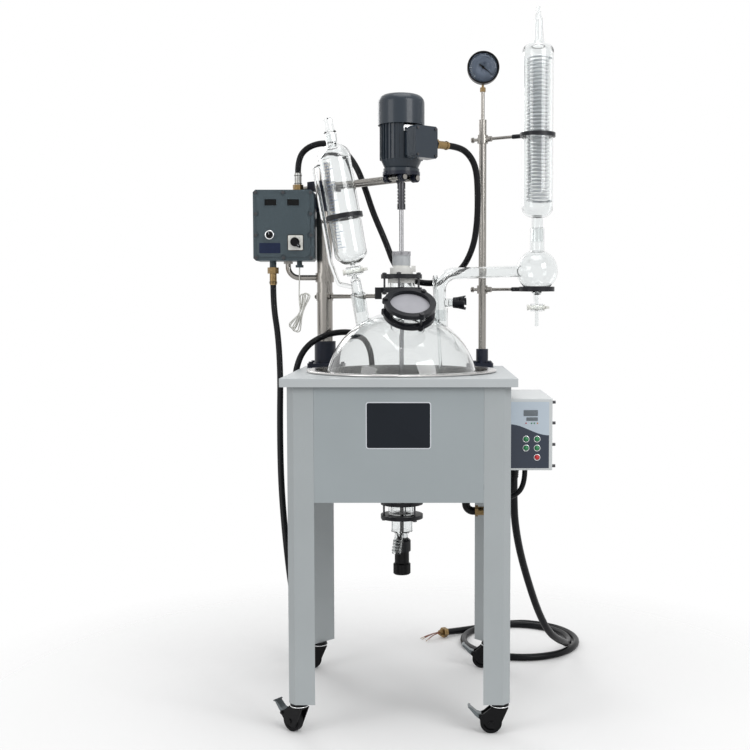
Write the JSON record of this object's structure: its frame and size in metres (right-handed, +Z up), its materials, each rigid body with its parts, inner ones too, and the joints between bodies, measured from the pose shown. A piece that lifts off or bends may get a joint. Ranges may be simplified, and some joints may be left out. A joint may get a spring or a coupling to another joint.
{
  "type": "bench glass reactor",
  "caption": "Floor-standing glass reactor: round flask in a heated bath on a castor frame, with stirrer motor, addition funnel, condenser, gauge and control boxes",
  "frame": {"origin": "on the floor under the axis of the stirrer, which is the middle of the frame and of the whole outline without the cords", "axes": "+X to the right as seen from the front, where the manhole is; the front faces -Y; +Z is up along the stirrer shaft"},
  "size_m": [1.1138, 1.1235, 2.17],
  "materials": {
    "black_metal": "matte",
    "black_paint": "matte",
    "black_plastic": "satin",
    "black_rubber": "smooth sheath",
    "box_grey": "hammered enamel",
    "brass": "dull brass",
    "glass": "clear borosilicate",
    "green_plastic": "satin",
    "grey_paint": "smooth satin paint",
    "motor_grey": "satin machine enamel",
    "navy_cast": "glossy dark blue enamel on a casting",
    "pale_paint": "light grey enamel",
    "red_plastic": "satin",
    "steel": "polished stainless steel",
    "steel_dark": "heat-tinted steel",
    "wheel_rubber": "matte",
    "white_lead": "pale flexible sheath",
    "white_ptfe": "white fluoropolymer"
  },
  "bodies": {
    "base": {"frame_legs": "grey_paint", "table_top": "grey_paint", "apron_panels": "grey_paint", "bath_pan": "steel", "bath_heater": "steel_dark", "bath_drain": "black_metal", "flask": "glass", "clamp_rings": "navy_cast", "fasteners": "steel", "neck_seals": "white_ptfe", "seal_nut": "steel", "motor_plate": "navy_cast", "motor_body": "motor_grey", "fan_cover": "motor_grey", "support_rods": "steel", "holder_rings": "navy_cast", "columns": "steel", "column_castings": "navy_cast", "vapour_tube": "glass", "condenser": "glass", "condenser_coil": "glass", "addition_funnel": "glass", "glass_fittings": "glass", "gauge_case": "black_paint", "control_box": "box_grey", "bath_controller": "pale_paint", "brass_fittings": "brass", "discharge_neck": "glass", "cord_glands": "brass", "sensor_wire": "white_lead", "castor_tops": "black_metal", "box_conduit": "black_rubber", "motor_conduit": "black_rubber", "heater_conduit": "black_rubber", "mains_conduit": "black_rubber"},
    "stirrer": {"stirrer_shaft": "steel", "stirrer_paddle": "white_ptfe"},
    "funnel_tap": {"funnel_key": "white_ptfe"},
    "bulb_tap": {"bulb_tap_key": "white_ptfe"},
    "needle": {"gauge_needle": "black_paint"},
    "speed": {"speed_knob": "black_plastic"},
    "selector": {"selector_knob": "black_plastic"},
    "valve_handle": {"discharge_handle": "black_plastic"},
    "button_a_body": {"button_a": "green_plastic"},
    "button_b_body": {"button_b": "green_plastic"},
    "button_c_body": {"button_c": "green_plastic"},
    "button_d_body": {"button_d": "green_plastic"},
    "button_power_body": {"button_power": "red_plastic"},
    "fork_fl": {"castor_fork_fl": "black_metal"},
    "wheel_fl": {"castor_wheel_fl": "wheel_rubber"},
    "pedal_fl": {"castor_pedal_fl": "black_metal"},
    "fork_fr": {"castor_fork_fr": "black_metal"},
    "wheel_fr": {"castor_wheel_fr": "wheel_rubber"},
    "pedal_fr": {"castor_pedal_fr": "black_metal"},
    "fork_rl": {"castor_fork_rl": "black_metal"},
    "wheel_rl": {"castor_wheel_rl": "wheel_rubber"},
    "pedal_rl": {"castor_pedal_rl": "black_metal"},
    "fork_rr": {"castor_fork_rr": "black_metal"},
    "wheel_rr": {"castor_wheel_rr": "wheel_rubber"},
    "pedal_rr": {"castor_pedal_rr": "black_metal"}
  },
  "joints": [
    {"name": "stirrer_turn", "type": "hinge", "parent": "base", "child": "stirrer", "pos_m": [0, 0, 1.45], "axis": [0, 0, 1], "continuous": true},
    {"name": "funnel_tap_turn", "type": "hinge", "parent": "base", "child": "funnel_tap", "pos_m": [-0.12327, 0, 1.33671], "axis": [0.986, 0, 0.1668], "continuous": true},
    {"name": "bulb_tap_turn", "type": "hinge", "parent": "base", "child": "bulb_tap", "pos_m": [0.45, 0.155, 1.221], "axis": [1, 0, 0], "continuous": true},
    {"name": "needle_sweep", "type": "hinge", "parent": "base", "child": "needle", "pos_m": [0.26, 0.24, 1.997], "axis": [0, -1, 0], "range_deg": [0, 256]},
    {"name": "speed_turn", "type": "hinge", "parent": "base", "child": "speed", "pos_m": [-0.431, 0.181, 1.455], "axis": [0, -1, 0], "range_deg": [-300, 0]},
    {"name": "selector_turn", "type": "hinge", "parent": "base", "child": "selector", "pos_m": [-0.348, 0.181, 1.432], "axis": [0, -1, 0], "range_deg": [0, 90]},
    {"name": "valve_handle_turn", "type": "hinge", "parent": "base", "child": "valve_handle", "pos_m": [0, 0, 0.423], "axis": [0, 0, 1], "range_deg": [0, 1080]},
    {"name": "button_a_press", "type": "slide", "parent": "base", "child": "button_a_body", "axis": [0, 1, 0], "range_m": [0, 0.002], "stiffness_N_per_m": 400, "springref_m": -0.002},
    {"name": "button_b_press", "type": "slide", "parent": "base", "child": "button_b_body", "axis": [0, 1, 0], "range_m": [0, 0.002], "stiffness_N_per_m": 400, "springref_m": -0.002},
    {"name": "button_c_press", "type": "slide", "parent": "base", "child": "button_c_body", "axis": [0, 1, 0], "range_m": [0, 0.002], "stiffness_N_per_m": 400, "springref_m": -0.002},
    {"name": "button_d_press", "type": "slide", "parent": "base", "child": "button_d_body", "axis": [0, 1, 0], "range_m": [0, 0.002], "stiffness_N_per_m": 400, "springref_m": -0.002},
    {"name": "button_power_press", "type": "slide", "parent": "base", "child": "button_power_body", "axis": [0, 1, 0], "range_m": [0, 0.002], "stiffness_N_per_m": 400, "springref_m": -0.002},
    {"name": "swivel_fl", "type": "hinge", "parent": "base", "child": "fork_fl", "pos_m": [-0.288, -0.288, 0.078], "axis": [0, 0, 1], "continuous": true},
    {"name": "roll_fl", "type": "hinge", "parent": "fork_fl", "child": "wheel_fl", "pos_m": [-0.3077, -0.27261, 0.0315], "axis": [0.6157, 0.788, 0], "continuous": true},
    {"name": "pedal_fl_press", "type": "hinge", "parent": "fork_fl", "child": "pedal_fl", "pos_m": [-0.33213, -0.25352, 0.05], "axis": [0.6157, 0.788, 0], "range_deg": [-15, 0]},
    {"name": "swivel_fr", "type": "hinge", "parent": "base", "child": "fork_fr", "pos_m": [0.288, -0.288, 0.078], "axis": [0, 0, 1], "continuous": true},
    {"name": "roll_fr", "type": "hinge", "parent": "fork_fr", "child": "wheel_fr", "pos_m": [0.263, -0.288, 0.0315], "axis": [0, 1, 0], "continuous": true},
    {"name": "pedal_fr_press", "type": "hinge", "parent": "fork_fr", "child": "pedal_fr", "pos_m": [0.232, -0.288, 0.05], "axis": [0, 1, 0], "range_deg": [-15, 0]},
    {"name": "swivel_rl", "type": "hinge", "parent": "base", "child": "fork_rl", "pos_m": [-0.288, 0.288, 0.078], "axis": [0, 0, 1], "continuous": true},
    {"name": "roll_rl", "type": "hinge", "parent": "fork_rl", "child": "wheel_rl", "pos_m": [-0.31245, 0.2828, 0.0315], "axis": [-0.2079, 0.9781, 0], "continuous": true},
    {"name": "pedal_rl_press", "type": "hinge", "parent": "fork_rl", "child": "pedal_rl", "pos_m": [-0.34278, 0.27636, 0.05], "axis": [-0.2079, 0.9781, 0], "range_deg": [-15, 0]},
    {"name": "swivel_rr", "type": "hinge", "parent": "base", "child": "fork_rr", "pos_m": [0.288, 0.288, 0.078], "axis": [0, 0, 1], "continuous": true},
    {"name": "roll_rr", "type": "hinge", "parent": "fork_rr", "child": "wheel_rr", "pos_m": [0.26314, 0.29061, 0.0315], "axis": [0.1045, 0.9945, 0], "continuous": true},
    {"name": "pedal_rr_press", "type": "hinge", "parent": "fork_rr", "child": "pedal_rr", "pos_m": [0.23231, 0.29385, 0.05], "axis": [0.1045, 0.9945, 0], "range_deg": [-15, 0]}
  ]
}
